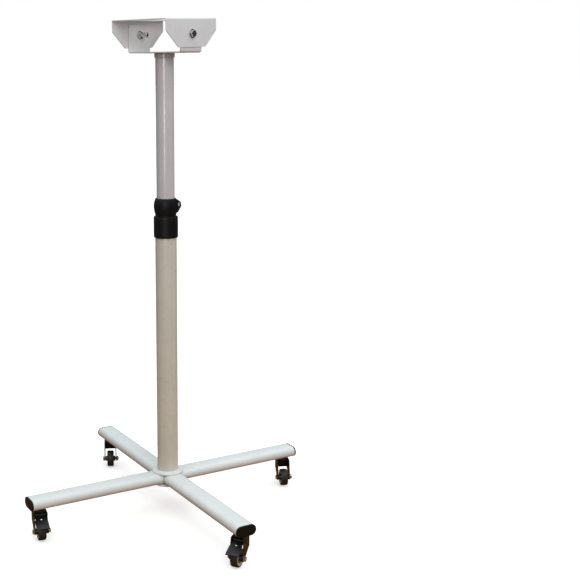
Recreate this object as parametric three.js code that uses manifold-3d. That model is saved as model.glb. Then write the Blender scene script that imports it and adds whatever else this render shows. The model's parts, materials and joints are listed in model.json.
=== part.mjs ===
// Rolling stand for a salon hood dryer: a four-legged base on swivel casters, a telescopic
// mast with a clamp collar, and a tilting top plate carried by a yoke. Millimetres, +Z up,
// origin on the floor under the mast, +X along the tilt axis, -Y towards the operator.
import * as THREE from 'three';
import { mergeVertices } from 'three/addons/utils/BufferGeometryUtils.js';
import Module from 'manifold-3d';

const wasm = await Module();
wasm.setup();

// ---- driving dimensions -------------------------------------------------------------
const GAP = 0.3; // air left between pieces that meet

const LEG = { w: 60, h: 30, wall: 2, underside: 86, tip: 428, mitreGap: 0.5 };
const LEG_ANGLE = { front: -19.2, right: 70.8, back: 160.8, left: 250.8 };
const CAP = { flange: 4.2, edge: 1.4, plug: 12, plugWall: 2.2 };
const HUB = { r: 45, disc: 4, plate: 4, chamfer: 0.8 };

const LOWER_TUBE = { r: 30, wall: 2.5, top: 860 };
const UPPER_TUBE = { r: 25, wall: 2, bottom: 550, top: 1303 };
const SOCKET = { r: 33.9, bottom: 806.4, shoulder: 865.6, top: 868.5, neckR: 28.8, ledge: 860.4 };
const CLAMP = { top: 915.6, topR: 27.8, bulgeR: 33.5, neckR: 28.9, boreR: 25.4 };
const LUG = { angle: 45, thick: 7, slit: 3, pocket: 1.6, rim: 1.6, screwR: 36.4, screwZ: 899 };
const CLAMP_SCREW = { r: 2.5, headR: 4.2, headH: 5, nutAF: 8, nutH: 4.2 };

const SLEEVE = { r: 27.5, bottom: 1295, top: 1306.7, spigotR: 22.6, spigotLen: 62 };
const PIVOT_Z = 1355.5;
const TILT = 1.4; // degrees the plate leans back at rest
const YOKE = { halfX: 96.2, depth: 82, sheet: 3, bottom: 1307, earTop: 28, bend: 8, corner: 8 };
const PLATE = { x: 198, y: 198, sheet: 2.5, top: 1395, flange: 74, bend: 4, corner: 6 };
const FLANGE = { straight: 30.5, inset: 46.5 };
const OPENING = { x: 119, y: 132, corner: 1.5 };
const SLOT = { w: 8, l: 14, x: 83.5, front: -84, back: 87 };
const TILT_BOLT = { r: 5, af: 17, head: 6.5, washerR: 12, washer: 2, nut: 8, lockAF: 14, lock: 6 };
const LOCKNUT_IN = 22; // from the ear's inner face to the lock nut

const CASTER_R = 402; // stem to mast
const CASTER_TRAIL = { front: -73, right: -42, back: -44, left: -30 };
const BRAKED = ['front', 'left'];
const WHEEL = { r: 25, half: 10.5, treadR: 20.6, trail: 22, bossHalf: 15.4 };
const FORK = {
  outer: 19.3, sheet: 2.8, top: 82, shoulder: 8, back: 17, skirt: 48, wall: 44.5, front: 66, boss: 9,
};
const STEM = { r: 5, raceR: 16, rivetR: 9, top: 106 };
const AXLE = { r: 4, af: 13, head: 4.5, nut: 5.5 };
const PEDAL = {
  pinX: 8, pinZ: 67, pinR: 2.6, sheet: 3, half: 15, flareX: 25, toeX: 58, toeZ: 46, toeHalf: 18,
};
const SHOE = { x: 19, halfX: 3, halfY: 7, bottom: 52.2, top: 62.2 };
const PEDAL_RIVET = { x: 26.4, r: 1.8, headR: 3.4, head: 2 };

const LEG_Z = LEG.underside + LEG.h / 2;
const LEG_TOP = LEG.underside + LEG.h;

// ---- finishes -----------------------------------------------------------------------
const finish = (color, roughness, metalness) => ({ color, roughness, metalness });
const WHITE_PAINT = finish(0xe4e6e2, 0.45, 0);
const BLACK_PLASTIC = finish(0x1c1c1e, 0.5, 0);
const BLACK_STEEL = finish(0x1a1a1b, 0.4, 0.3);
const RUBBER = finish(0x2b2927, 0.8, 0);
const CREAM_PLASTIC = finish(0xc9b98c, 0.5, 0);
const ZINC = finish(0xb9bcbf, 0.3, 1);

// ---- shared solid tools -------------------------------------------------------------
const UP = new THREE.Matrix4();
const ALONG_X = basis([0, 1, 0], [0, 0, 1], [1, 0, 0]); // outline in Y-Z, pushed along +X
const ALONG_Y = basis([1, 0, 0], [0, 0, 1], [0, 1, 0]); // outline in X-Z, pushed along +Y

function basis(x, y, z) {
  return new THREE.Matrix4().makeBasis(...[x, y, z].map((a) => new THREE.Vector3(...a)));
}

// One closed solid from a three.js geometry, faces turned outwards.
function solid(geometry) {
  const flat = geometry.index ? geometry.toNonIndexed() : geometry;
  const bare = new THREE.BufferGeometry().setAttribute('position', flat.getAttribute('position'));
  const merged = mergeVertices(bare, 1e-4);
  const p = merged.attributes.position.array;
  const tris = [];
  let volume = 0;
  for (let i = 0; i < merged.index.count; i += 3) {
    const [a, b, c] = merged.index.array.slice(i, i + 3);
    if (a === b || b === c || c === a) continue;
    tris.push([a, b, c]);
    const [u, v, w] = [a, b, c].map((k) => new THREE.Vector3().fromArray(p, 3 * k));
    volume += u.dot(v.cross(w));
  }
  const out = volume < 0 ? tris.map(([a, b, c]) => [a, c, b]) : tris;
  return new wasm.Manifold(
    new wasm.Mesh({ numProp: 3, vertProperties: p, triVerts: new Uint32Array(out.flat()) }),
  );
}

const turn = (s, x, y, z) => s.rotate([x, y, z]);
const move = (s, x, y, z) => s.translate([x, y, z]);
const join = (...solids) => solids.reduce((a, b) => a.add(b));
const cut = (s, ...tools) => tools.reduce((a, b) => a.subtract(b), s);

// An outline pushed a length along the frame's third axis.
function prism(shape, length, frame = UP, options = {}) {
  const settings = { depth: length, bevelEnabled: false, curveSegments: 4, ...options };
  return solid(new THREE.ExtrudeGeometry(shape, settings).applyMatrix4(frame));
}

function block(x0, x1, y0, y1, z0, z1) {
  const g = new THREE.BoxGeometry(x1 - x0, y1 - y0, z1 - z0);
  return solid(g.translate((x0 + x1) / 2, (y0 + y1) / 2, (z0 + z1) / 2));
}

// A profile of [radius, height] pairs turned about +Z.
function turned(profile, segments = 28) {
  const points = [...profile, profile[0]].map(([r, z]) => new THREE.Vector2(r, z));
  return solid(new THREE.LatheGeometry(points, segments).rotateX(Math.PI / 2));
}

const rod = (r, z0, z1, segments = 20) => turned([[0, z0], [r, z0], [r, z1], [0, z1]], segments);
const pipe = (r, bore, z0, z1, segments = 44) =>
  turned([[bore, z0], [r, z0], [r, z1], [bore, z1]], segments);

// A rod lying along X or Y between two coordinates.
const rodX = (r, x0, x1, y, z, segments) => move(turn(rod(r, x0, x1, segments), 0, 90, 0), 0, y, z);
const rodY = (r, y0, y1, x, z, segments) => move(turn(rod(r, y0, y1, segments), -90, 0, 0), x, 0, z);

// Rectangle with rounded corners about the origin.
function roundedRect(w, h, r) {
  const s = new THREE.Shape();
  const [x, y] = [w / 2 - r, h / 2 - r];
  s.absarc(x, y, r, 0, Math.PI / 2);
  s.absarc(-x, y, r, Math.PI / 2, Math.PI);
  s.absarc(-x, -y, r, Math.PI, 1.5 * Math.PI);
  s.absarc(x, -y, r, 1.5 * Math.PI, 2 * Math.PI);
  return s;
}

// Outline through the corners given, each corner rounded by the radius beside it.
function roundedOutline(corners) {
  const s = new THREE.Shape();
  corners.forEach(([x, y, r], i) => {
    const n = corners.length;
    const here = new THREE.Vector2(x, y);
    const toPrev = new THREE.Vector2(...corners[(i + n - 1) % n]).sub(here).normalize();
    const toNext = new THREE.Vector2(...corners[(i + 1) % n]).sub(here).normalize();
    const half = Math.acos(THREE.MathUtils.clamp(toPrev.dot(toNext), -1, 1)) / 2;
    const reach = r / Math.tan(half);
    const a = toPrev.multiplyScalar(reach).add(here);
    const b = toNext.multiplyScalar(reach).add(here);
    if (i === 0) s.moveTo(a.x, a.y);
    else s.lineTo(a.x, a.y);
    if (r > 0) s.quadraticCurveTo(x, y, b.x, b.y);
  });
  s.closePath();
  return s;
}

// Hexagonal bar along +Z with its corners broken at the outer end.
function hexBar(af, z0, z1) {
  const corner = af / Math.sqrt(3);
  const shape = new THREE.Shape(
    [...Array(6).keys()].map((i) => {
      const a = (i * Math.PI) / 3 + Math.PI / 6;
      return new THREE.Vector2(corner * Math.cos(a), corner * Math.sin(a));
    }),
  );
  const bar = move(prism(shape, z1 - z0), 0, 0, z0);
  const cone = turned([[0, z0 - 1], [corner + 1, z0 - 1], [corner + 1, z1 - 1.6],
    [af / 2 - 0.3, z1 + 0.01], [0, z1 + 0.01]], 12);
  return bar.intersect(cone);
}

const root = new THREE.Group();
root.name = 'salon_dryer_stand';

function piece(name, manifold, look) {
  const mesh = manifold.getMesh();
  const g = new THREE.BufferGeometry();
  g.setAttribute('position', new THREE.BufferAttribute(new Float32Array(mesh.vertProperties), 3));
  g.setIndex(new THREE.BufferAttribute(new Uint32Array(mesh.triVerts), 1));
  g.computeVertexNormals();
  const made = new THREE.Mesh(g, new THREE.MeshStandardMaterial(look));
  made.name = name;
  made.material.name = name;
  root.add(made);
}

// ---- base: four flat-oval legs, their caps and the hub ------------------------------
function legAndCap(side) {
  const angle = LEG_ANGLE[side];
  const oval = (inset) => roundedRect(LEG.w - 2 * inset, LEG.h - 2 * inset, LEG.h / 2 - inset);
  const bar = (inset, length) => prism(oval(inset), length, ALONG_X);
  const wedge = prism(new THREE.Shape([
    new THREE.Vector2(LEG.mitreGap, 0),
    new THREE.Vector2(LEG.mitreGap + LEG.tip, -LEG.tip),
    new THREE.Vector2(LEG.mitreGap + LEG.tip, LEG.tip),
  ]), LEG.h + 4);
  const tube = cut(bar(0, LEG.tip), move(bar(LEG.wall, LEG.tip + 2), -1, 0, 0));
  const leg = cut(
    tube.intersect(move(wedge, 0, 0, -LEG.h / 2 - 2)),
    move(rod(STEM.r + GAP, -LEG.h, 0), CASTER_R, 0, 0),
  );
  const seat = LEG.wall + GAP;
  const edge = { bevelEnabled: true, bevelThickness: CAP.edge, bevelSize: CAP.edge,
    bevelOffset: -CAP.edge, bevelSegments: 1 };
  const flange = move(prism(oval(0), CAP.flange - 2 * CAP.edge, ALONG_X, edge),
    LEG.tip + GAP + CAP.edge, 0, 0);
  const plug = cut(bar(seat, CAP.plug + 1), move(bar(seat + CAP.plugWall, CAP.plug), -1, 0, 0));
  const cap = join(flange, move(plug, LEG.tip + GAP - CAP.plug + 0.5, 0, 0));
  for (const [name, part, look] of [['leg', leg, WHITE_PAINT], ['leg_cap', cap, BLACK_PLASTIC]])
    piece(`${name}_${side}`, turn(move(part, 0, 0, LEG_Z), 0, 0, angle), look);
}

function chamferedDisc(r, z0, z1, c) {
  return turned([[0, z0], [r - c, z0], [r, z0 + c], [r, z1 - c], [r - c, z1], [0, z1]], 44);
}

function hub() {
  const z = LEG_TOP + GAP;
  piece('hub_disc', chamferedDisc(HUB.r, z, z + HUB.disc, HUB.chamfer), WHITE_PAINT);
  const under = LEG.underside - GAP;
  piece('hub_under_plate', chamferedDisc(HUB.r, under - HUB.plate, under, HUB.chamfer), WHITE_PAINT);
}

// ---- mast: lower tube, collar, clamp ring, upper tube -------------------------------
function mast() {
  const foot = LEG_TOP + HUB.disc + 2 * GAP;
  piece('mast_lower_tube',
    pipe(LOWER_TUBE.r, LOWER_TUBE.r - LOWER_TUBE.wall, foot, LOWER_TUBE.top), WHITE_PAINT);
  piece('mast_upper_tube',
    pipe(UPPER_TUBE.r, UPPER_TUBE.r - UPPER_TUBE.wall, UPPER_TUBE.bottom, UPPER_TUBE.top),
    WHITE_PAINT);
  const bore = LOWER_TUBE.r + GAP;
  const { r, bottom, shoulder, top, neckR, ledge } = SOCKET;
  piece('collar_socket', turned([
    [bore, bottom], [r - 1.5, bottom], [r, bottom + 2.5], [r, shoulder - 2], [r - 1.5, shoulder],
    [neckR, shoulder + 0.5], [neckR, top], [CLAMP.boreR, top], [CLAMP.boreR, ledge], [bore, ledge],
  ], 40), BLACK_PLASTIC);
}

// The ring's outside bows out to a belly and draws in again to the neck below it.
function clampBarrel() {
  const bottom = SOCKET.top + GAP;
  const outer = new THREE.SplineCurve([
    [CLAMP.neckR, bottom], [31.9, bottom + 11.5], [CLAMP.bulgeR, bottom + 25],
    [32.2, CLAMP.top - 11], [CLAMP.topR + 1.4, CLAMP.top - 2],
  ].map(([x, y]) => new THREE.Vector2(x, y))).getPoints(7).map((p) => [p.x, p.y]);
  return turned([[CLAMP.boreR, bottom], ...outer, [CLAMP.topR, CLAMP.top],
    [CLAMP.boreR, CLAMP.top]], 40);
}

// Both lugs as one plate in the X-Z plane, before the slit parts them.
function lugOutline(inset) {
  const corners = [[26.6, 14, 0], [30, 14, 0.8], [42.6, 4, 2], [43.2, -5, 2], [33.4, -23, 1],
    [26.6, -23, 0]].map(([x, up, r]) => [x, LUG.screwZ + up, r]);
  const middle = new THREE.Vector2(LUG.screwR - 1.2, LUG.screwZ - 1);
  return roundedOutline(corners.map(([x, y, r]) => {
    const p = new THREE.Vector2(x, y);
    const pulled = p.lerp(middle, Math.min(0.9, (1.25 * inset) / p.distanceTo(middle)));
    return [pulled.x, pulled.y, r];
  }));
}

function clamp() {
  const half = LUG.slit / 2 + LUG.thick;
  const lugs = move(prism(lugOutline(0), 2 * half, ALONG_Y), 0, -half, 0);
  const pocket = move(prism(lugOutline(LUG.rim), LUG.pocket + 1, ALONG_Y),
    0, -half - 1, 0);
  const bore = rod(CLAMP.boreR, SOCKET.top - 5, CLAMP.top + 5, 40);
  const ring = cut(
    join(clampBarrel(), cut(lugs, bore)),
    pocket,
    block(0, 60, -LUG.slit / 2, LUG.slit / 2, SOCKET.top - 5, CLAMP.top + 5),
    rodY(CLAMP_SCREW.r + GAP, -half - 5, half + 5, LUG.screwR, LUG.screwZ),
  );
  piece('clamp_ring', turn(ring, 0, 0, LUG.angle), BLACK_PLASTIC);

  const seat = -half + LUG.pocket - GAP;
  const { r, headR, headH, nutAF, nutH } = CLAMP_SCREW;
  const socketHex = turn(hexBar(4, 0, 4), 90, 0, 0);
  const headOuter = seat - headH;
  const screw = cut(
    join(turn(turned([[0, 0], [headR - 0.6, 0], [headR, 0.6], [headR, headH], [0, headH]], 24),
      -90, 0, 0).translate([LUG.screwR, headOuter, LUG.screwZ]),
    rodY(r, seat - 0.5, half + nutH + 1.5, LUG.screwR, LUG.screwZ)),
    move(socketHex, LUG.screwR, headOuter + 2.6, LUG.screwZ),
  );
  piece('clamp_screw', turn(screw, 0, 0, LUG.angle), ZINC);
  const nut = cut(turn(hexBar(nutAF, 0, nutH), -90, 0, 0), rodY(r + GAP, -1, nutH + 1, 0, 0));
  piece('clamp_nut', turn(move(nut, LUG.screwR, half + GAP, LUG.screwZ), 0, 0, LUG.angle), ZINC);
}

// ---- head: sleeve, yoke, tilt plate and pivot hardware ------------------------------
function headSleeve() {
  const { r, bottom, top, spigotR, spigotLen } = SLEEVE;
  const bore = UPPER_TUBE.r + GAP;
  const roof = UPPER_TUBE.top + GAP;
  piece('head_sleeve', turned([
    [bore, bottom], [r - 0.6, bottom], [r, bottom + 0.6], [r, top - 0.6], [r - 0.6, top],
    [0, top], [0, roof - spigotLen], [spigotR - 1.5, roof - spigotLen],
    [spigotR, roof - spigotLen + 2], [spigotR, roof], [bore, roof],
  ], 40), WHITE_PAINT);
}

// A strip bent up at both ends: its section in X-Z, pushed along Y.
function foldedStrip(halfX, base, tip, sheet, bend, depth) {
  const up = Math.sign(tip - base);
  const inner = Math.max(bend - sheet, 0.5);
  const section = roundedOutline([
    [-halfX, tip, 0], [-halfX, base, bend], [halfX, base, bend], [halfX, tip, 0],
    [halfX - sheet, tip, 0], [halfX - sheet, base + up * sheet, inner],
    [-halfX + sheet, base + up * sheet, inner], [-halfX + sheet, tip, 0],
  ]);
  return move(prism(section, depth, ALONG_Y), 0, -depth / 2, 0);
}

function yoke() {
  const { halfX, depth, sheet, bottom, earTop, bend, corner } = YOKE;
  const top = PIVOT_Z + earTop;
  const strip = foldedStrip(halfX, bottom, top, sheet, bend, depth);
  const face = roundedOutline([[-depth / 2, bottom - 1, 0], [depth / 2, bottom - 1, 0],
    [depth / 2, top, corner], [-depth / 2, top, corner]]);
  const trimmed = strip.intersect(move(prism(face, 2 * halfX + 4, ALONG_X), -halfX - 2, 0, 0));
  piece('yoke', cut(trimmed,
    rodX(TILT_BOLT.r + GAP, -halfX - 5, halfX + 5, 0, PIVOT_Z)), WHITE_PAINT);
}

function slot(x, y, alongY) {
  const [w, h] = alongY ? [SLOT.w, SLOT.l] : [SLOT.l, SLOT.w];
  return move(prism(roundedRect(w, h, SLOT.w / 2), 3 * PLATE.sheet), x, y,
    PLATE.top - 2 * PLATE.sheet);
}

function tiltPlate() {
  const { x, y, sheet, top, flange, bend, corner } = PLATE;
  const foot = top - flange;
  const strip = foldedStrip(x / 2, top, foot, sheet, bend, y);
  const shoulder = top - FLANGE.straight;
  const face = roundedOutline([
    [-y / 2, top + 1, 0], [-y / 2, shoulder, corner], [-y / 2 + FLANGE.inset, foot, corner],
    [y / 2 - FLANGE.inset, foot, corner], [y / 2, shoulder, corner], [y / 2, top + 1, 0],
  ]);
  const trimmed = strip.intersect(move(prism(face, x + 4, ALONG_X), -x / 2 - 2, 0, 0));
  const window = move(prism(roundedRect(OPENING.x, OPENING.y, OPENING.corner), 4 * sheet),
    0, 0, top - 3 * sheet);
  const plan = move(prism(roundedRect(x, y, 2), flange + 2), 0, 0, foot - 1);
  const plate = cut(
    trimmed.intersect(plan), window,
    slot(-SLOT.x, SLOT.front, true), slot(SLOT.x, SLOT.front, true),
    slot(-SLOT.x, SLOT.back, false), slot(SLOT.x, SLOT.back, false),
    rodX(TILT_BOLT.r + GAP, -x, x, 0, PIVOT_Z),
  );
  const leaning = turn(move(plate, 0, 0, -PIVOT_Z), TILT, 0, 0);
  piece('tilt_plate', move(leaning, 0, 0, PIVOT_Z), WHITE_PAINT);
}

// The pivot hardware of one side, drawn for +X and turned half round for -X.
function pivotHardware(side, spin) {
  const { r, af, head, washerR, washer, nut, lockAF, lock } = TILT_BOLT;
  const face = PLATE.x / 2;
  const inner = YOKE.halfX - YOKE.sheet;
  const place = (s) => move(turn(turn(s, 0, 90, 0), 0, 0, spin), 0, 0, PIVOT_Z);
  const headZ = face + washer + 2 * GAP;
  const end = inner - LOCKNUT_IN - lock - 2.5;
  const bolt = join(hexBar(af, headZ, headZ + head),
    turned([[0, end], [r - 0.8, end], [r, end + 0.8], [r, headZ + 0.5], [0, headZ + 0.5]], 20));
  piece(`tilt_bolt_${side}`, place(bolt), ZINC);
  piece(`tilt_washer_${side}`,
    place(pipe(washerR, r + GAP, face + GAP, face + GAP + washer, 24)), ZINC);
  const innerNut = join(
    pipe(washerR - 1, r + GAP, inner - GAP - 2, inner - GAP, 24),
    cut(turn(hexBar(af, 0, nut - 1), 180, 0, 0).translate([0, 0, inner - GAP - 1]),
      rod(r + GAP, inner - 20, inner + 1)),
  );
  piece(`tilt_nut_${side}`, place(innerNut), ZINC);
  const lockZ = inner - LOCKNUT_IN;
  piece(`tilt_locknut_${side}`, place(cut(
    turn(hexBar(lockAF, 0, lock), 180, 0, 0).translate([0, 0, lockZ]),
    rod(r + GAP, lockZ - lock - 2, lockZ + 2),
  )), ZINC);
}

// ---- casters ------------------------------------------------------------------------
// Drawn about the stem: +X is the trailing direction, +Y the axle, Z = 0 the floor.
function forkSolid(braked) {
  const { outer, sheet, top, shoulder, back, skirt, boss, front } = FORK;
  const hoop = (half, z, r) => prism(roundedOutline([
    [-half, 10, 0], [half, 10, 0], [half, z, r], [-half, z, r]]), 60, ALONG_X).translate([-20, 0, 0]);
  const shell = hoop(outer, top, shoulder);
  const hollow = hoop(outer - sheet, top - sheet, shoulder - sheet);
  const { trail, r } = WHEEL;
  const side = new THREE.Shape();
  side.moveTo(-back, top + 1);
  side.lineTo(-back, skirt);
  side.lineTo(trail - boss * 0.87, r - boss * 0.5);
  side.absarc(trail, r, boss, Math.PI * 1.17, Math.PI * 2.06, false);
  side.lineTo(back + 3, front);
  side.lineTo(back, top + 1);
  side.closePath();
  const profile = move(prism(side, 60, ALONG_Y), 0, -30, 0);
  const wall = block(-back, -back + sheet, -outer, outer, FORK.wall, top);
  const fork = join(cut(shell, hollow).intersect(profile), wall.intersect(shell));
  const bores = [rod(STEM.r + 0.6, top - 10, top + 5), rodY(AXLE.r + GAP, -30, 30, trail, r)];
  if (braked) bores.push(rodY(PEDAL.pinR + GAP, -30, 30, PEDAL.pinX, PEDAL.pinZ));
  return cut(fork, ...bores);
}

function stemSolid() {
  const roof = LEG.underside - GAP;
  const under = FORK.top - FORK.sheet - GAP;
  return turned([
    [0, under - 4], [STEM.rivetR - 1.2, under - 4], [STEM.rivetR, under - 2.6],
    [STEM.rivetR, under], [STEM.r, under], [STEM.r, FORK.top + GAP],
    [STEM.raceR - 0.8, FORK.top + GAP], [STEM.raceR, FORK.top + 1.1], [STEM.raceR, roof],
    [STEM.r, roof], [STEM.r, STEM.top - 1], [STEM.r - 1, STEM.top], [0, STEM.top],
  ], 20);
}

function tyreSolid() {
  const { r, half, treadR } = WHEEL;
  return turn(turned([
    [treadR, -half + 0.6], [treadR + 0.8, -half], [r - 2.6, -half], [r - 0.7, -half + 1.2],
    [r, -half + 3.6], [r, half - 3.6], [r - 0.7, half - 1.2], [r - 2.6, half],
    [treadR + 0.8, half], [treadR, half - 0.6],
  ], 32), -90, 0, 0).translate([WHEEL.trail, 0, r]);
}

function hubSolid() {
  const rim = WHEEL.treadR - GAP;
  const bore = AXLE.r + GAP;
  const { half, bossHalf } = WHEEL;
  const face = [[bore, bossHalf], [8, bossHalf], [8.6, half - 2.4], [15.6, half - 3.4],
    [16.4, half - 0.6], [rim, half - 0.6]];
  const mirrored = face.map(([r, y]) => [r, -y]);
  return turn(turned([...mirrored, ...face.reverse()], 24), -90, 0, 0)
    .translate([WHEEL.trail, 0, WHEEL.r]);
}
function axlePieces() {
  const { r, af, head, nut } = AXLE;
  const seat = FORK.outer + GAP;
  const stand = (s) => turn(s, -90, 0, 0).translate([WHEEL.trail, 0, WHEEL.r]);
  const headEnd = turn(hexBar(af, seat, seat + head), 180, 0, 0);
  const tip = seat + nut + 1.2;
  const bolt = join(headEnd,
    turned([[0, -seat - 0.5], [r, -seat - 0.5], [r, tip - 0.8], [r - 0.8, tip], [0, tip]], 20));
  const hexNut = cut(hexBar(af, seat, seat + nut), rod(r + GAP, seat - 1, seat + nut + 1));
  return [stand(bolt), stand(hexNut)];
}

// A bent plate from the cross pin out over the wheel to a turned-down toe.
function pedalPlan() {
  const { half, flareX, toeX, toeHalf } = PEDAL;
  const edge = [[-6, half, 0], [flareX, half, 2], [flareX + 5, toeHalf, 3], [toeX + 4, toeHalf, 0]];
  return prism(roundedOutline([...edge.map(([x, y, r]) => [x, -y, r]), ...edge.reverse()]), 60);
}
function pedalSlope() {
  const { pinX, pinZ, toeX, toeZ } = PEDAL;
  return (pinZ - toeZ) / (toeX - pinX);
}
function onPedal(shape) {
  const { x } = PEDAL_RIVET;
  const tilt = THREE.MathUtils.radToDeg(Math.atan(pedalSlope()));
  return turn(shape, 0, tilt, 0).translate([x, 0, PEDAL.pinZ - pedalSlope() * (x - PEDAL.pinX)]);
}
function pedalSolid() {
  const { pinX, pinZ, pinR, sheet, half, toeX, toeZ, toeHalf } = PEDAL;
  const line = [[pinX, pinZ], [toeX - 7, toeZ + 7 * pedalSlope()], [toeX, toeZ - 1]];
  const outline = [...line.map(([x, z]) => [x, z + sheet / 2, 0.6]),
    ...line.reverse().map(([x, z]) => [x - 0.6, z - sheet / 2, 0.6])];
  const plate = move(prism(roundedOutline(outline), 2 * toeHalf, ALONG_Y), 0, -toeHalf, 0)
    .intersect(move(pedalPlan(), 0, 0, 30));
  const shoe = block(SHOE.x - SHOE.halfX, SHOE.x + SHOE.halfX, -SHOE.halfY, SHOE.halfY,
    SHOE.bottom, SHOE.top);
  const barrel = rodY(pinR + 2.2, -half + 1, half - 1, pinX, pinZ, 20);
  const pin = rodY(pinR, -FORK.outer - GAP - 0.5, FORK.outer + GAP + 0.5, pinX, pinZ, 20);
  const cap = (y) => rodY(pinR + 1.4, y, y + 1.6, pinX, pinZ, 20);
  const whole = join(plate, shoe, barrel, pin, cap(FORK.outer + GAP), cap(-FORK.outer - GAP - 1.6));
  return cut(whole, onPedal(rod(PEDAL_RIVET.r + GAP, -6, 6)));
}
function pedalRivetSolid() {
  const { r, headR, head } = PEDAL_RIVET;
  const seat = PEDAL.sheet / 2 + GAP;
  return onPedal(turned([[0, -PEDAL.sheet / 2], [r, -PEDAL.sheet / 2], [r, seat], [headR, seat],
    [headR, seat + 0.6], [headR * 0.75, seat + head * 0.75], [0, seat + head]], 20));
}
function caster(side) {
  const braked = BRAKED.includes(side);
  const a = THREE.MathUtils.degToRad(LEG_ANGLE[side]);
  const place = (s) => turn(s, 0, 0, CASTER_TRAIL[side])
    .translate([CASTER_R * Math.cos(a), CASTER_R * Math.sin(a), 0]);
  const [bolt, hexNut] = axlePieces();
  const made = {
    stem: [stemSolid(), BLACK_STEEL], fork: [forkSolid(braked), BLACK_STEEL],
    tyre: [tyreSolid(), RUBBER], wheel_core: [hubSolid(), CREAM_PLASTIC],
    axle: [bolt, ZINC], axle_nut: [hexNut, ZINC],
  };
  if (braked) {
    made.pedal = [pedalSolid(), BLACK_STEEL];
    made.pedal_rivet = [pedalRivetSolid(), ZINC];
  }
  for (const [part, [shape, look]] of Object.entries(made))
    piece(`caster_${side}_${part}`, place(shape), look);
}

for (const side of Object.keys(LEG_ANGLE)) legAndCap(side);
hub();
mast();
clamp();
headSleeve();
yoke();
tiltPlate();
pivotHardware('right', 0);
pivotHardware('left', 180);
for (const side of Object.keys(CASTER_TRAIL)) caster(side);

export default root;
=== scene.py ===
# %% [markdown]
# # A rolling stand for a salon hood dryer
# A cross base of four flat-oval legs on swivel casters carries a telescopic mast. A black
# collar and clamp ring lock its height. On top, a folded plate tilts in a folded yoke.
# The CAD model gives the place and size of every piece, so this script only refines shapes
# and gives each piece the finish of the real one.

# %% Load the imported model
import json
import math

import bmesh
import bpy
from mathutils import Matrix, Vector

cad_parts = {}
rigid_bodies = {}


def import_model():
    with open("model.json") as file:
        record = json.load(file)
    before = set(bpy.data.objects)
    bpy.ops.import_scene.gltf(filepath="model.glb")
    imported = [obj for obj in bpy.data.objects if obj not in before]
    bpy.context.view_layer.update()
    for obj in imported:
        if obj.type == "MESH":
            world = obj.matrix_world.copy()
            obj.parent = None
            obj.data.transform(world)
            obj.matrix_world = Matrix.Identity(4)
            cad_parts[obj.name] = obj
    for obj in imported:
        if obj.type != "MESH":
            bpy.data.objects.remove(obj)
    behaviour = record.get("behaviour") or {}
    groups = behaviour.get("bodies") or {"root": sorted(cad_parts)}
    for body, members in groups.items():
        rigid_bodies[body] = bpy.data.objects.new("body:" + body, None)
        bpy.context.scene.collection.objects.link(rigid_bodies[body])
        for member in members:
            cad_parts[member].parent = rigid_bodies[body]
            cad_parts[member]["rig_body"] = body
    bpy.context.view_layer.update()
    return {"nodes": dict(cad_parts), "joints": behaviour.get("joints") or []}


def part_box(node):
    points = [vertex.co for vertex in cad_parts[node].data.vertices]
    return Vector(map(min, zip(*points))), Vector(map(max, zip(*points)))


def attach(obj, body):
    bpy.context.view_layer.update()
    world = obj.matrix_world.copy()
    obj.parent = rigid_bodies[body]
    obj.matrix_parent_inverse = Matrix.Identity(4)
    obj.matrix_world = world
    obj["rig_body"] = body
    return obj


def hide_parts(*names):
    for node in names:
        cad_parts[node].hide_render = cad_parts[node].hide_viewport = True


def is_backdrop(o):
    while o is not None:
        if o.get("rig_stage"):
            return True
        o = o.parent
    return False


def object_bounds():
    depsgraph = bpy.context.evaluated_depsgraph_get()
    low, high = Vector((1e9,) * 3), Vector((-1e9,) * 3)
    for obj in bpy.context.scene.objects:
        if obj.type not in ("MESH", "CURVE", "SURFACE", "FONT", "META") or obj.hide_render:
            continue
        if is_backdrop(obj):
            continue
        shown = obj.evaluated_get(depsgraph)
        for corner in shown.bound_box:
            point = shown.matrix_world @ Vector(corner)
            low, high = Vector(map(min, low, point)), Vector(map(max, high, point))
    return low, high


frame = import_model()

MM = 0.001
SIDES = ("front", "right", "back", "left")
JOINT = {joint["name"]: joint for joint in frame["joints"]}
BODY = {name: node["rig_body"] for name, node in frame["nodes"].items()}
print("CAD nodes:", len(frame["nodes"]))

# %% [markdown]
# ## Camera and studio
# The camera comes first, because every later choice is judged through it. It stands about
# 2.9 m from the mast at eye height for a seated person, and looks slightly down. The lens is
# shifted sideways, as on a view camera, so the stand keeps to the left of the frame while
# its mast stays upright.

# %% Camera
CAMERA_DISTANCE = 2.89875
CAMERA_HEIGHT = 1.2795
CAMERA_AZIMUTH = math.radians(43.056)
PITCH, ROLL, YAW = math.radians(12.151), math.radians(0.477), math.radians(-0.077)
FOCAL_LENGTH = 65.31
SIDE_SHIFT = 0.2155
NEAREST, FARTHEST = 0.05, 200


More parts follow.
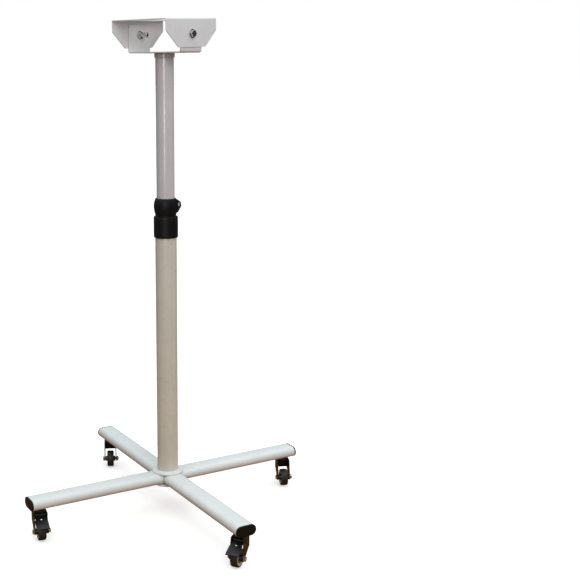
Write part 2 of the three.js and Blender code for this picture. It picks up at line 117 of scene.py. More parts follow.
def aim_camera():
    """A camera looking at the mast from the azimuth, with pitch below the horizon and roll."""
    heading = CAMERA_AZIMUTH - YAW
    forward = Vector((-math.sin(heading) * math.cos(PITCH), math.cos(heading) * math.cos(PITCH),
                      -math.sin(PITCH)))
    level = Vector((math.cos(heading), math.sin(heading), 0))
    down = forward.cross(level)
    right = math.cos(ROLL) * level + math.sin(ROLL) * down
    below = math.cos(ROLL) * down - math.sin(ROLL) * level
    camera = bpy.data.objects.new("camera", bpy.data.cameras.new("camera"))
    camera.matrix_world = Matrix((
        (right.x, -below.x, -forward.x, CAMERA_DISTANCE * math.sin(CAMERA_AZIMUTH)),
        (right.y, -below.y, -forward.y, -CAMERA_DISTANCE * math.cos(CAMERA_AZIMUTH)),
        (right.z, -below.z, -forward.z, CAMERA_HEIGHT),
        (0, 0, 0, 1),
    ))
    camera.data.lens = FOCAL_LENGTH
    camera.data.shift_x = SIDE_SHIFT
    camera.data.clip_start, camera.data.clip_end = NEAREST, FARTHEST
    bpy.context.scene.collection.objects.link(camera)
    bpy.context.scene.camera = camera
    return camera


camera = aim_camera()
print("camera at", [round(c, 3) for c in camera.location])

# %% [markdown]
# ## Colours and nodes
# Paint colours are given as hex values, and the renderer works in linear light,
# so one function turns one into the other. A second small function adds a node, sets its
# sockets and links it, which keeps each material short enough to read.

# %% Colour and node helpers
def linear(hex_code):
    """An sRGB hex colour as linear red, green, blue and alpha."""
    parts = [int(hex_code[i:i + 2], 16) / 255 for i in (1, 3, 5)]
    return [c / 12.92 if c <= 0.04045 else ((c + 0.055) / 1.055) ** 2.4 for c in parts] + [1]


def find_socket(sockets, key):
    """The socket with that number, or that name or identifier."""
    return sockets[key] if isinstance(key, int) else next(
        s for s in sockets if key in (s.name, s.identifier))


def add_node(tree, kind, settings=None, links=None):
    """A node of that kind, with its properties and sockets set and its inputs linked."""
    made = tree.nodes.new(kind)
    for key, value in (settings or {}).items():
        if isinstance(key, str) and hasattr(made, key):
            setattr(made, key, value)
        else:
            find_socket(made.inputs, key).default_value = value
    for key, (source, output) in (links or {}).items():
        tree.links.new(find_socket(source.outputs, output), find_socket(made.inputs, key))
    return made


def new_material(name):
    """A material whose node tree is empty, ready to be built up."""
    made = bpy.data.materials.new(name)
    made.use_nodes = True
    made.node_tree.nodes.clear()
    return made


def noise(tree, place, size_mm, detail=2.0, roughness=0.5):
    """Cloudy noise whose patches are about size_mm across."""
    return add_node(tree, "ShaderNodeTexNoise",
                    {"Scale": 1 / (size_mm * MM), "Detail": detail, "Roughness": roughness},
                    {"Vector": place})


def ramp(tree, source, stops):
    """A colour ramp through (position, hex colour) stops."""
    made = add_node(tree, "ShaderNodeValToRGB", links={"Fac": source})
    band = made.color_ramp
    while len(band.elements) < len(stops):
        band.elements.new(0.5)
    for element, (position, code) in zip(band.elements, stops):
        element.position = position
        element.color = linear(code)
    return made


def spread(tree, source, low, high, start=0.3, end=0.7):
    """The source's values from start to end stretched to run from low to high."""
    return add_node(tree, "ShaderNodeMapRange", {
        "From Min": start, "From Max": end, "To Min": low, "To Max": high}, {"Value": source})


def finish(material, colour, roughness, height, depth_mm, strength, **fixed):
    """Ends a material: its shader, its bump and the output."""
    tree = material.node_tree
    bump = add_node(tree, "ShaderNodeBump", {"Strength": strength, "Distance": depth_mm * MM},
                    {"Height": height})
    shader = add_node(tree, "ShaderNodeBsdfPrincipled", fixed, {
        "Base Color": colour, "Roughness": roughness, "Normal": (bump, "Normal")})
    add_node(tree, "ShaderNodeOutputMaterial", links={"Surface": (shader, "BSDF")})
    return material


print("white of the leg paint, linear:", [round(c, 3) for c in linear("#E6E9E8")[:3]])

# %% [markdown]
# ## Powder coat
# The steel is sprayed with dry polyester powder and baked. It melts into a thick skin that is
# never quite flat: it ripples every two or three millimetres like orange peel, and catches a
# dust nib here and there. Under soft light that gives a broad, slightly broken sheen. The
# paint is an off-white that drifts a little in tone, and a film of handling dirt dulls it. It
# is one paint in four lit and shaded copies: the legs' copy is the coolest, the upper tube's is
# a step darker as painted shade, the lower tube's is darker and creamier as painted shade and
# warm floor bounce, and the head's is brighter as painted light.

# %% White powder coat
def white_powder_coat(name, light, shade, satin):
    """Off-white paint with orange peel, dust nibs and a film of dirt."""
    made = new_material(name)
    tree = made.node_tree
    place = (add_node(tree, "ShaderNodeTexCoord"), "Object")
    tone = noise(tree, place, 140, 3)
    peel = noise(tree, place, 2.4, 1.5, 0.4)
    nib = add_node(tree, "ShaderNodeTexVoronoi", {"Scale": 1 / (16 * MM)}, {"Vector": place})
    speck = spread(tree, (nib, "Distance"), 1, 0, 0.02, 0.05)
    film = noise(tree, place, 30, 4, 0.6)
    paint = ramp(tree, (tone, "Fac"), [(0.3, shade), (0.7, light)])
    soiled = add_node(tree, "ShaderNodeMix", {
        "data_type": "RGBA", "blend_type": "MULTIPLY", "B_Color": linear("#C9C6C0")},
        {"A_Color": (paint, "Color"),
         "Factor_Float": (spread(tree, (film, "Fac"), 0, 0.14, 0.5, 0.8), "Result")})
    spotted = add_node(tree, "ShaderNodeMix", {
        "data_type": "RGBA", "B_Color": linear("#8F8A82")},
        {"A_Color": (soiled, "Result_Color"),
         "Factor_Float": (spread(tree, (speck, "Result"), 0, 0.35, 0, 1), "Result")})
    skin = add_node(tree, "ShaderNodeMath", {"operation": "MULTIPLY_ADD", 1: 0.5},
                    {0: (speck, "Result"), 2: (peel, "Fac")})
    rough = spread(tree, (film, "Fac"), satin - 0.04, satin + 0.08)
    return finish(made, (spotted, "Result_Color"), (rough, "Result"), (skin, "Value"),
                  0.05, 0.35, **{"IOR": 1.5})


WHITE = white_powder_coat("polyester_powder_coat_white", "#E6E9E8", "#DDE0DE", 0.36)
# Painted light and shade: these copies of the one white paint are darker on the mast and brighter
# on the head than on the legs, and the lower tube's copy carries painted warm floor bounce.
UPPER_MAST_SHADED_WHITE = white_powder_coat("powder_coat_upper_mast_painted_shade",
                                     "#DBD5D6", "#D3CDCE", 0.20)
LOWER_MAST_SHADED_WARM_WHITE = white_powder_coat("powder_coat_lower_mast_painted_shade_and_bounce",
                                     "#DCD7C8", "#D2CDBE", 0.28)
HEAD_LIT_WHITE = white_powder_coat("powder_coat_head_painted_light", "#EFEDED", "#E9E8E8", 0.33)
print("powder coats:", [m.name for m in (WHITE, UPPER_MAST_SHADED_WHITE, LOWER_MAST_SHADED_WARM_WHITE, HEAD_LIT_WHITE)])

# %% [markdown]
# ## Black nylon
# The collar, the clamp ring and the leg caps are injection-moulded from glass-filled nylon.
# The mould is spark-eroded, which leaves an even satin grain, and the glass makes faint grey
# clouds. The grain is finer than a millimetre, and it is drawn a little coarser here so
# that it still breaks up the highlight. The cream wheel cores are made the same way. Around
# their axle the cream is darkened by painted shade, for the shadow in the hub recess.

# %% Moulded nylon and cream polypropylene
def moulded_plastic(name, dark, pale, grain_mm, satin, depth_mm, shine):
    """Clouded plastic with a fine grain, with painted shade where the piece's hub attribute is
    high.
    """
    made = new_material(name)
    tree = made.node_tree
    place = (add_node(tree, "ShaderNodeTexCoord"), "Object")
    grain = noise(tree, place, grain_mm, 2, 0.6)
    cloud = noise(tree, place, 22, 3, 0.55)
    scuff = noise(tree, place, 7, 6, 0.75)
    body = ramp(tree, (cloud, "Fac"), [(0.35, dark), (0.75, pale)])
    rough = spread(tree, (scuff, "Fac"), satin - 0.05, satin + 0.1)
    # Painted shade: the hub attribute blends the colour towards dark brown, for the shadow in the
    # wheel core's recess.
    hub_shade = add_node(tree, "ShaderNodeAttribute", {"attribute_name": "hub_painted_shade"})
    shaded = add_node(tree, "ShaderNodeMix", {"data_type": "RGBA", "B_Color": linear("#1A1713")},
                    {"A_Color": (body, "Color"), "Factor_Float": (hub_shade, "Fac")})
    return finish(made, (shaded, "Result_Color"), (rough, "Result"), (grain, "Fac"), depth_mm, 0.3,
                  **{"IOR": 1.5, "Specular IOR Level": shine})


NYLON = moulded_plastic("glass_filled_nylon_black", "#09090A", "#101012", 0.9, 0.46, 0.05, 0.28)
CREAM = moulded_plastic("polypropylene_cream", "#DCCB96", "#ECE0B6", 1.2, 0.36, 0.03, 0.5)
print("plastics:", NYLON.name, CREAM.name)

# %% [markdown]
# ## Black caster steel
# The fork, the stem and the brake pedal are pressed from steel and dipped in black paint. The
# coat is thin and semi-gloss. It pulls away from sharp edges and picks up grey floor dust in
# the hollows. Here a grime layer, stronger where the noise is high, spreads grey dust in
# random patches, and it follows neither the edges nor the hollows.

# %% Dip-painted steel
def dip_painted_steel(name):
    """Thin black paint with runs in it and grey dust."""
    made = new_material(name)
    tree = made.node_tree
    place = (add_node(tree, "ShaderNodeTexCoord"), "Object")
    dust = noise(tree, place, 9, 5, 0.65)
    runs = noise(tree, place, 3.5, 2)
    coat = ramp(tree, (dust, "Fac"), [(0.4, "#0A0A0B"), (0.62, "#121212"), (0.8, "#262422")])
    rough = spread(tree, (dust, "Fac"), 0.28, 0.5)
    return finish(made, (coat, "Color"), (rough, "Result"), (runs, "Fac"), 0.04, 0.3,
                  **{"IOR": 1.5})


CASTER_BLACK = dip_painted_steel("dip_painted_steel_black")

# %% [markdown]
# ## Tread rubber
# The tyre is a grey-brown thermoplastic rubber. Rolling polishes its crown and works floor
# dust into the shoulders, so it is lighter and duller than the black steel beside it.

# %% Rubber
def tread_rubber(name):
    """Grey-brown rubber with pores and worked-in dust."""
    made = new_material(name)
    tree = made.node_tree
    place = (add_node(tree, "ShaderNodeTexCoord"), "Object")
    dust = noise(tree, place, 6, 5, 0.7)
    pores = noise(tree, place, 0.8, 2)
    body = ramp(tree, (dust, "Fac"), [(0.35, "#191715"), (0.6, "#23201E"), (0.85, "#3A3632")])
    rough = spread(tree, (dust, "Fac"), 0.42, 0.66)
    return finish(made, (body, "Color"), (rough, "Result"), (pores, "Fac"), 0.06, 0.35,
                  **{"IOR": 1.52})


RUBBER = tread_rubber("thermoplastic_rubber_grey")

# %% [markdown]
# ## Zinc plate
# Bolts, nuts and washers are steel, plated with bright zinc and passivated. Zinc grows in
# small crystals that scatter the highlight, and the passivation leaves faint straw and blue
# patches. It is a metal, so its colour tints the reflection and its IOR is left alone.

# %% Bright zinc
def bright_zinc(name):
    """A bright metal with small crystals and straw-coloured patches."""
    made = new_material(name)
    tree = made.node_tree
    place = (add_node(tree, "ShaderNodeTexCoord"), "Object")
    patch = noise(tree, place, 5, 3)
    crystal = add_node(tree, "ShaderNodeTexVoronoi", {"Scale": 1 / (0.9 * MM)}, {"Vector": place})
    tint = ramp(tree, (patch, "Fac"), [(0.3, "#C6CBD1"), (0.55, "#DAD8D2"), (0.75, "#CFC3A8")])
    rough = spread(tree, (crystal, "Distance"), 0.07, 0.15, 0, 0.8)
    return finish(made, (tint, "Color"), (rough, "Result"), (crystal, "Distance"), 0.02, 0.12,
                  **{"Metallic": 1.0})


ZINC = bright_zinc("zinc_plated_steel")
print("metals:", CASTER_BLACK.name, ZINC.name)

# %% [markdown]
# ## Shaping helpers
# Most pieces of a stand like this are turned or cut from tube. A turned piece starts as a few
# points of its section, is bevelled there, and is then spun a full turn. A piece that has the
# right shape in the CAD model is copied, its loose triangles are merged back into whole
# faces, and its edges are rounded by the small radius that paint or plating leaves.

# %% Helpers that make and place a piece
SMOOTH_ANGLE = math.radians(32)


def keep(bm, name, material, body, nodes=()):
    """Turns a bmesh into a named piece that rides on a body and stands for CAD nodes."""
    mesh = bpy.data.meshes.new(name)
    bm.to_mesh(mesh)
    bm.free()
    mesh.materials.append(material)
    mesh.shade_smooth()
    mesh.set_sharp_from_angle(angle=SMOOTH_ANGLE)
    made = bpy.data.objects.new(name, mesh)
    bpy.context.scene.collection.objects.link(made)
    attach(made, body)
    if nodes:
        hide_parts(*nodes)
    return made


def spun(profile, steps=96, closed=True):
    """A section of (radius, height) points in mm, spun a full turn about Z."""
    bm = bmesh.new()
    corners = [bm.verts.new((r * MM, 0, z * MM)) for r, z in profile]
    edges = [bm.edges.new(pair) for pair in zip(corners, corners[1:])]
    if closed:
        edges.append(bm.edges.new((corners[-1], corners[0])))
    bmesh.ops.spin(bm, geom=corners + edges, cent=(0, 0, 0), axis=(0, 0, 1),
                   angle=math.tau, steps=steps, use_merge=True)
    bmesh.ops.remove_doubles(bm, verts=bm.verts, dist=1e-6)
    bmesh.ops.recalc_face_normals(bm, faces=bm.faces)
    return bm


def rounded(profile, radius, sharp=25):
    """The same section with each corner sharper than that angle cut by short chords."""
    made = []
    count = len(profile)
    for i, here in enumerate(profile):
        here = Vector(here)
        before, after = Vector(profile[i - 1]) - here, Vector(profile[(i + 1) % count]) - here
        turn = math.pi - before.angle(after)
        if here.x < 1e-6 or turn < math.radians(sharp):
            made.append(tuple(here))
            continue
        reach = min(radius, before.length * 0.45, after.length * 0.45)
        start, end = here + before.normalized() * reach, here + after.normalized() * reach
        for step in (0, 0.25, 0.5, 0.75, 1):
            made.append(tuple(start.lerp(here, step).lerp(here.lerp(end, step), step)))
    return made


def merged_copy(node):
    """The CAD node's mesh as whole flat faces instead of loose triangles."""
    bm = bmesh.new()
    bm.from_mesh(frame["nodes"][node].data)
    bmesh.ops.remove_doubles(bm, verts=bm.verts, dist=2e-6)
    bmesh.ops.dissolve_limit(bm, angle_limit=math.radians(0.5), verts=bm.verts, edges=bm.edges)
    return bm


def eased(piece, width_mm, segments=2, angle=32):
    """Rounds the piece's sharp edges with a live bevel."""
    bevel = piece.modifiers.new("eased_edges", "BEVEL")
    bevel.width = width_mm * MM
    bevel.segments = segments
    bevel.limit_method = "ANGLE"
    bevel.angle_limit = math.radians(angle)
    bevel.harden_normals = True
    return piece


def refined(node, name, material, width_mm, segments=2):
    """A copy of the CAD node with eased edges, in place of the node."""
    return eased(keep(merged_copy(node), name, material, BODY[node], [node]),
                 width_mm, segments)


def spot(joint):
    """Where a joint turns, in metres."""
    return Vector(JOINT[joint]["pos_m"])


print("helpers ready, joints:", len(JOINT))

# %% [markdown]
# ## Mast
# Two drawn steel tubes slide in each other. They are plain, so what tells them apart from a
# cylinder is the open wall, the rounded rim and the powder coat. Each is spun from the four
# corners of its wall section.

# %% Mast tubes
def box_mm(node):
    """The CAD node's lowest and highest corner in mm."""
    low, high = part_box(node)
    return low / MM, high / MM


def tube_section(node, wall):
    """The wall of a plain tube, with its rims rounded."""
    low, high = box_mm(node)
    radius = (high.x - low.x) / 2
    return rounded([(radius - wall, low.z), (radius, low.z), (radius, high.z),
                    (radius - wall, high.z)], 0.6)


LOWER_WALL, UPPER_WALL = 2.5, 2.0
# The tubes get the shaded copies of the white paint: painted shade, and on the lower tube painted
# warm floor bounce too.
for node, wall, paint in (("mast_lower_tube", LOWER_WALL, LOWER_MAST_SHADED_WARM_WHITE),
                          ("mast_upper_tube", UPPER_WALL, UPPER_MAST_SHADED_WHITE)):
    tube = keep(spun(tube_section(node, wall), 128), node + "_drawn", paint, BODY[node],
                [node])
    print(tube.name, len(tube.data.polygons), "faces")

# %% [markdown]
# ## Collar and clamp ring
# The collar is a moulded sleeve with a soft shoulder and a few fine grooves left by the
# turning of its mould. The clamp ring above it bellies out and carries two lugs that one screw
# draws together. The lugs make it a shape that can't be spun, so the CAD piece is refined.

# %% Collar
def grooves(radius, heights, depth, half):
    """Shallow grooves in a straight wall that runs upwards at that radius."""
    return [point for z in heights
            for point in ((radius, z - half), (radius - depth, z), (radius, z + half))]


low, high = box_mm("collar_socket")
FOOT, LIP = low.z, high.z
COLLAR_R = (high.x - low.x) / 2
MAST_R, TUBE_R = box_mm("mast_lower_tube")[1].x, box_mm("mast_upper_tube")[1].x
SHOULDER, NECK_R, SEAT_DEPTH = LIP - 2.9, COLLAR_R - 5.1, 8
BORE_R, NECK_BORE_R = MAST_R + 0.3, TUBE_R + 0.4
collar_section = [
    (BORE_R, FOOT), (COLLAR_R - 1.6, FOOT), (COLLAR_R - 0.5, FOOT + 0.7), (COLLAR_R, FOOT + 2.4),
    *grooves(COLLAR_R, [FOOT + 8, SHOULDER - 15, SHOULDER - 11, SHOULDER - 7], 0.35, 0.5),
    (COLLAR_R, SHOULDER - 3), (COLLAR_R - 0.7, SHOULDER - 1), (COLLAR_R - 2.2, SHOULDER),
    (NECK_R, SHOULDER + 0.4), (NECK_R, LIP), (NECK_BORE_R, LIP),
    (NECK_BORE_R, LIP - SEAT_DEPTH), (BORE_R, LIP - SEAT_DEPTH)]
collar = keep(spun(collar_section, 128), "collar_moulded", NYLON, "base",
              ["collar_socket"])
clamp = refined("clamp_ring", "clamp_ring_moulded", NYLON, 0.7, 3)
print(collar.name, "radius", round(COLLAR_R, 1), "mm,", clamp.name)

# %% Clamp screw and nut
for node in ("clamp_screw", "clamp_nut"):
    refined(node, node + "_plated", ZINC, 0.25)

# %% [markdown]
# ## Base
# Each leg is 60 by 30 mm flat-oval tube. Its section is a circle pulled apart into an oval,
# drawn out to the leg's length and cut at the hub by two 45 degree planes, where four legs
# meet in a mitre. A Solidify modifier then gives the shell its 2 mm wall.

# %% Legs
LEG_W, LEG_H, LEG_WALL, LEG_TIP, MITRE_GAP = 60, 30, 2, 428, 0.5
LEG_MIDDLE = (box_mm("leg_front")[0].z + box_mm("leg_front")[1].z) / 2
HALF_ROUND = 20


def oval_ring(half_w, half_h, x):
    """A flat-oval loop of edges in the Y-Z plane, at x along the leg."""
    bm = bmesh.new()
    bmesh.ops.create_circle(bm, cap_ends=False, segments=2 * HALF_ROUND, radius=half_h * MM)
    bmesh.ops.rotate(bm, verts=bm.verts, cent=(0, 0, 0),
                     matrix=Matrix.Rotation(math.pi / (2 * HALF_ROUND), 3, "Z"))
    for v in bm.verts:
        v.co.x += math.copysign((half_w - half_h) * MM, v.co.x)
    bmesh.ops.transform(bm, verts=bm.verts, matrix=Matrix((
        (0, 0, 1, x * MM), (1, 0, 0, 0), (0, 1, 0, 0), (0, 0, 0, 1))))
    return bm


def leg_place(side):
    """Turns a leg drawn along +X to its side, at the height of the legs."""
    stem = spot(f"swivel_{side}")
    return Matrix.Translation((0, 0, LEG_MIDDLE * MM)) @ Matrix.Rotation(
        math.atan2(stem.y, stem.x), 4, "Z")


def leg_shell():
    """One leg along +X, an open shell cut to a point for the mitre."""
    bm = oval_ring(LEG_W / 2, LEG_H / 2, 0)
    grown = bmesh.ops.extrude_edge_only(bm, edges=bm.edges)["geom"]
    bmesh.ops.translate(bm, vec=(LEG_TIP * MM, 0, 0),
                        verts=[g for g in grown if isinstance(g, bmesh.types.BMVert)])
    for sign in (1, -1):
        bmesh.ops.bisect_plane(bm, geom=bm.verts[:] + bm.edges[:] + bm.faces[:], dist=1e-7,
                               plane_co=(MITRE_GAP * MM, 0, 0), plane_no=(-1, sign, 0),
                               clear_outer=True)
    bmesh.ops.recalc_face_normals(bm, faces=bm.faces)
    if sum(f.normal.z * f.calc_center_median().z for f in bm.faces) < 0:
        bmesh.ops.reverse_faces(bm, faces=bm.faces)
    return bm


for side in SIDES:
    bm = leg_shell()
    bm.transform(leg_place(side))
    leg = keep(bm, f"leg_tube_{side}", WHITE, "base", [f"leg_{side}"])
    wall = leg.modifiers.new("tube_wall", "SOLIDIFY")
    wall.thickness, wall.offset = LEG_WALL * MM, -1
    eased(leg, 0.4)
print("leg shell faces:", len(leg.data.polygons))

# %% [markdown]
# The end of each leg is closed by a nylon cap. It is drawn from the same oval, pushed out a
# few millimetres and rounded over, with a plug that goes down into the tube.

# %% Leg caps
CAP_FLANGE, CAP_PLUG, GAP = 4.2, 12, 0.3


def leg_cap():
    """A closed flange whose rim is rounded, with the plug behind it."""
    bm = oval_ring(LEG_W / 2, LEG_H / 2, LEG_TIP + GAP)
    bmesh.ops.contextual_create(bm, geom=bm.edges[:])
    lid = bmesh.ops.extrude_face_region(bm, geom=bm.faces[:])["geom"]
    bmesh.ops.translate(bm, vec=(CAP_FLANGE * MM, 0, 0),
                        verts=[g for g in lid if isinstance(g, bmesh.types.BMVert)])
    outer = [e for e in bm.edges if all(v.co.x > (LEG_TIP + CAP_FLANGE / 2) * MM for v in e.verts)]
    bmesh.ops.bevel(bm, geom=outer, offset=0.9 * MM, segments=4, profile=0.5,
                    affect="EDGES", material=-1)
    back = min(bm.faces, key=lambda f: f.calc_center_median().x)
    bmesh.ops.inset_region(bm, faces=[back], thickness=(LEG_WALL + GAP) * MM)
    plug = bmesh.ops.extrude_face_region(bm, geom=[back])["geom"]
    bmesh.ops.translate(bm, vec=(-CAP_PLUG * MM, 0, 0),
                        verts=[g for g in plug if isinstance(g, bmesh.types.BMVert)])
    bmesh.ops.delete(bm, geom=[back], context="FACES_ONLY")
    bmesh.ops.recalc_face_normals(bm, faces=bm.faces)
    return bm


for side in SIDES:
    bm = leg_cap()
    bm.transform(leg_place(side))
    cap = keep(bm, f"leg_cap_{side}_moulded", NYLON, "base", [f"leg_cap_{side}"])
print("cap faces:", len(cap.data.polygons))

# %% [markdown]
# A disc on top of the mitre and one under it clamp the legs together, and the mast is welded
# to the upper one. The weld bead is a low uneven fillet that the powder coat rounds off.

# %% Hub discs and weld bead
def disc_section(node, edge):
    """A flat disc with a rounded rim."""
    low, high = box_mm(node)
    radius = (high.x - low.x) / 2
    return rounded([(0, low.z), (radius, low.z), (radius, high.z), (0, high.z)], edge)


for node in ("hub_disc", "hub_under_plate"):
    keep(spun(disc_section(node, 1.2), 96, closed=False), node + "_cut", WHITE, "base",
         [node])


def weld_bead(radius, z, size):
    """A ring of weld in the corner between a tube and the plate it stands on, with ripples."""
    inner = radius + 0.05
    bm = spun([(inner, z), (radius + size, z), (radius + size * 0.55, z + size * 0.42),
               (inner, z + size)], 180)
    for v in bm.verts:
        angle = math.atan2(v.co.y, v.co.x)
        wave = 0.18 * math.sin(58 * angle) + 0.1 * math.sin(7 * angle + 1)
        out = Vector((v.co.x, v.co.y, 0))
        if out.length > (radius + 0.3) * MM:
            v.co += out.normalized() * wave * MM
    return keep(bm, "weld_mast_foot", WHITE, "base")


bead = weld_bead(MAST_R, box_mm("hub_disc")[1].z + 0.02, 3.2)
print(bead.name, "faces:", len(bead.data.polygons))

# %% [markdown]
# ## Casters
# Each caster is a pressed fork on a riveted stem, a rubber tyre on a cream plastic core, and
# an axle bolt with its nut. Tyre and core are spun about the axle, then stood up and moved to
# their swivel. The fork and the brake pedal are bent sheet, so they are refined CAD pieces.

# %% Wheels
WHEEL_R, WHEEL_HALF, TREAD_R = 25, 10.5, 20.6
TYRE_HALF = [
    (TREAD_R, WHEEL_HALF - 0.5), (TREAD_R + 0.6, WHEEL_HALF), (WHEEL_R - 2.8, WHEEL_HALF),
    (WHEEL_R - 1.2, WHEEL_HALF - 0.6), (WHEEL_R - 0.35, WHEEL_HALF - 2), (WHEEL_R, WHEEL_HALF - 4)]
CORE_HALF = [(4.3, 15.4), (8, 15.4), (8.6, 8.1), (15.6, 7.1), (16.4, 9.9), (TREAD_R - 0.3, 9.9)]
# Painted shade on the wheel core, for the shadow in its recess: it fades in inwards from the first
# radius over the second width, both in mm.
HUB_SHADE_OUT, HUB_SHADE_FADE = 16.6, 2.5


def mirrored_section(half):
    """A section of a wheel from its upper half, which runs outwards."""
    return [(r, -z) for r, z in half] + half[::-1]


TYRE_SECTION = mirrored_section(TYRE_HALF)
CORE_SECTION = rounded(mirrored_section(CORE_HALF), 0.5)


def wheel_place(side):
    """Turns a wheel drawn about Z onto its own axle."""
    axis = Vector(JOINT[f"wheel_spin_{side}"]["axis"])
    turn = axis.to_track_quat("Z", "Y").to_matrix().to_4x4()
    return Matrix.Translation(spot(f"wheel_spin_{side}")) @ turn


for side in SIDES:
    for name, section, steps, material, slot in (
            ("tyre", TYRE_SECTION, 96, RUBBER, "tread_rubber"),
            ("wheel_core", CORE_SECTION, 72, CREAM, "cream_plastic")):
        bm = spun(section, steps)
        if name == "wheel_core":
            # Painted shade: each core vertex gets the darkening for the recess shadow from its
            # distance to the axle.
            hub_shade = bm.verts.layers.float.new("hub_painted_shade")
            for v in bm.verts:
                v[hub_shade] = min(1, max(0, (HUB_SHADE_OUT - v.co.xy.length / MM) / HUB_SHADE_FADE))
        bm.transform(wheel_place(side))
        node = f"caster_{side}_{name}"
        wheel = keep(bm, f"{node}_moulded", material, BODY[node], [node])
print("wheel pieces:", 2 * len(SIDES), wheel.name)

# %% Forks, stems, axles and brake pedals
CASTER_FINISH = {
    "fork": (CASTER_BLACK, "black_coated_steel", 0.7),
    "stem": (CASTER_BLACK, "black_coated_steel", 0.3),
    "pedal": (CASTER_BLACK, "black_coated_steel", 0.6),
    "axle": (ZINC, "zinc_plated_steel", 0.25),
    "axle_nut": (ZINC, "zinc_plated_steel", 0.25),
    "pedal_rivet": (ZINC, "zinc_plated_steel", 0.3)}
for side in SIDES:
    for part, (material, slot, edge) in CASTER_FINISH.items():
        node = f"caster_{side}_{part}"
        if node in frame["nodes"]:
            refined(node, node + "_finished", material, edge)
print("caster pieces refined")

# %% [markdown]
# ## Head
# The sleeve on top of the mast carries the folded yoke, and the plate tilts between its ears
# on two bolts. Both are 2.5 to 3 mm sheet, punched and folded. A sheared edge is sharp until
# the powder coat rounds it, so these pieces get a small even radius.

# %% Sleeve, yoke and tilt plate
low, high = box_mm("head_sleeve")
SLEEVE_R = (high.x - low.x) / 2
SKIRT, SPIGOT_R, SKIRT_BORE_R = 11.7, 22.6, TUBE_R + 0.3
TUBE_STOP = box_mm("mast_upper_tube")[1].z + 0.3
sleeve_section = rounded([
    (SKIRT_BORE_R, high.z - SKIRT), (SLEEVE_R, high.z - SKIRT), (SLEEVE_R, high.z), (0, high.z),
    (0, low.z), (SPIGOT_R, low.z), (SPIGOT_R, TUBE_STOP), (SKIRT_BORE_R, TUBE_STOP)], 0.8)
# The sleeve shares the upper tube's darker copy of the paint, which is painted shade.
keep(spun(sleeve_section, 96, closed=False), "head_sleeve_turned", UPPER_MAST_SHADED_WHITE, "head",
     ["head_sleeve"])
# The yoke and the plate get the brighter copy of the paint, which is painted light.
for node in ("yoke", "tilt_plate"):
    refined(node, node + "_folded", HEAD_LIT_WHITE, 0.7, 3)

# %% Tilt bolts, washers and nuts
for part in ("bolt", "washer", "nut", "locknut"):
    for side in ("right", "left"):
        node = f"tilt_{part}_{side}"
        refined(node, node + "_plated", ZINC, 0.35)
print("head finished")

# %% [markdown]
# ## Floor and light
# A white floor runs out to the horizon. Most of the light comes from above, as from a large
# softbox, so the tops of the legs are bright and the mast is a step darker. To the light, the
# floor is brown near the stand and grey further out, which warms the undersides and leaves the
# head neutral. The two lamps at the sides don't show in gloss, so the black plastic stays black
# and the zinc keeps its contrast. A third softbox, behind the camera, shows only in gloss and
# draws the line of light down the upper tube.

# %% Floor
FLOOR_R = 60
BOARDS_END, GREY_START = 0.7, 2.0


def studio_floor():
    """White paper to the camera. To the light, brown boards that fade into grey further out."""
    bm = bmesh.new()
    bmesh.ops.create_circle(bm, cap_ends=True, segments=96, radius=FLOOR_R)
    mesh = bpy.data.meshes.new("floor")
    bm.to_mesh(mesh)
    bm.free()
    made = bpy.data.objects.new("floor", mesh)
    paper = new_material("studio_paper")
    tree = paper.node_tree
    seen = add_node(tree, "ShaderNodeLightPath")
    pale = add_node(tree, "ShaderNodeBsdfPrincipled", {
        "Base Color": linear("#EFEDEB"), "Roughness": 0.9, "Emission Color": linear("#FFFFFF"),
        "Emission Strength": 0.42})
    place = (add_node(tree, "ShaderNodeTexCoord"), "Object")
    away = add_node(tree, "ShaderNodeVectorMath", {"operation": "LENGTH"}, {0: place})
    boards = add_node(tree, "ShaderNodeMix", {
        "data_type": "RGBA", "A_Color": linear("#98683A"), "B_Color": linear("#6C6A6C")},
        {"Factor_Float": (spread(tree, (away, "Value"), 0, 1, BOARDS_END, GREY_START), "Result")})
    warm = add_node(tree, "ShaderNodeBsdfDiffuse", links={"Color": (boards, "Result_Color")})
    both = add_node(tree, "ShaderNodeMixShader", links={
        0: (seen, "Is Camera Ray"), 1: (warm, "BSDF"), 2: (pale, "BSDF")})
    add_node(tree, "ShaderNodeOutputMaterial", links={"Surface": (both, "Shader")})
    mesh.materials.append(paper)
    bpy.context.scene.collection.objects.link(made)
    made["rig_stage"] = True
    return made


print("floor radius:", FLOOR_R, "m,", studio_floor().name)


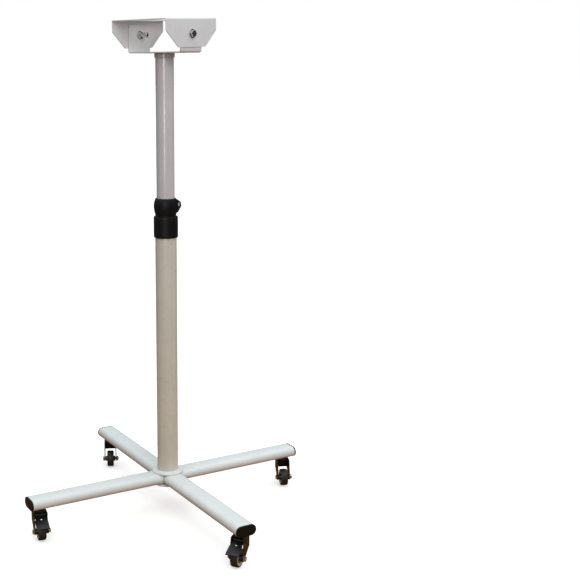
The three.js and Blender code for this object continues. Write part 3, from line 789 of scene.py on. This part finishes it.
# %% Sky and softboxes
def studio_sky(overhead, horizon):
    """White to the camera, and for light on the object bright above and dim at the sides."""
    world = bpy.data.worlds.new("studio")
    world.use_nodes = True
    tree = world.node_tree
    tree.nodes.clear()
    place = (add_node(tree, "ShaderNodeTexCoord"), "Generated")
    split = add_node(tree, "ShaderNodeSeparateXYZ", links={"Vector": place})
    height = spread(tree, (split, "Z"), horizon, overhead, 0.15, 0.95)
    light = add_node(tree, "ShaderNodeBackground", links={"Strength": (height, "Result")})
    paper = add_node(tree, "ShaderNodeBackground", {"Strength": 1.0})
    seen = add_node(tree, "ShaderNodeLightPath")
    light.inputs["Color"].default_value = linear("#F0F8FA")
    paper.inputs["Color"].default_value = (1, 1, 1, 1)
    both = add_node(tree, "ShaderNodeMixShader", links={
        0: (seen, "Is Camera Ray"), 1: (light, "Background"), 2: (paper, "Background")})
    add_node(tree, "ShaderNodeOutputWorld", links={"Surface": (both, "Shader")})
    bpy.context.scene.world = world


def softbox(name, where, target, width, height, power, colour, mirrored=False):
    """A rectangular lamp. One that is mirrored shows only in gloss, the others only light."""
    lamp = bpy.data.lights.new(name, "AREA")
    lamp.shape, lamp.size, lamp.size_y = "RECTANGLE", width, height
    lamp.energy, lamp.color = power, linear(colour)[:3]
    made = bpy.data.objects.new(name, lamp)
    made.location = where
    made.rotation_euler = (Vector(target) - Vector(where)).to_track_quat("-Z", "Y").to_euler()
    made.visible_camera = False
    made.visible_glossy, made.visible_diffuse = mirrored, not mirrored
    bpy.context.scene.collection.objects.link(made)


studio_sky(1.46, 0.06)
MIDDLE = (0, 0, 0.75)
softbox("key_softbox", (3.1, -1.7, 2.3), MIDDLE, 1.4, 2.0, 50, "#FFF9F9")
softbox("strip_softbox", (2.05, -2.95, 1.4), (0, 0, 1.4), 0.7, 1.4, 30, "#FFFCF8", mirrored=True)
softbox("rim_softbox", (1.6, 3.0, 2.0), MIDDLE, 0.8, 1.8, 10, "#EAF2FF")
bpy.context.scene.view_settings.view_transform = "Standard"

# %% [markdown]
# ## Sizes
# The box that the finished model fills, without the floor, is measured. The finished
# model must keep to the CAD model's box.

# %% Measure the finished model's box
low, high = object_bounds()
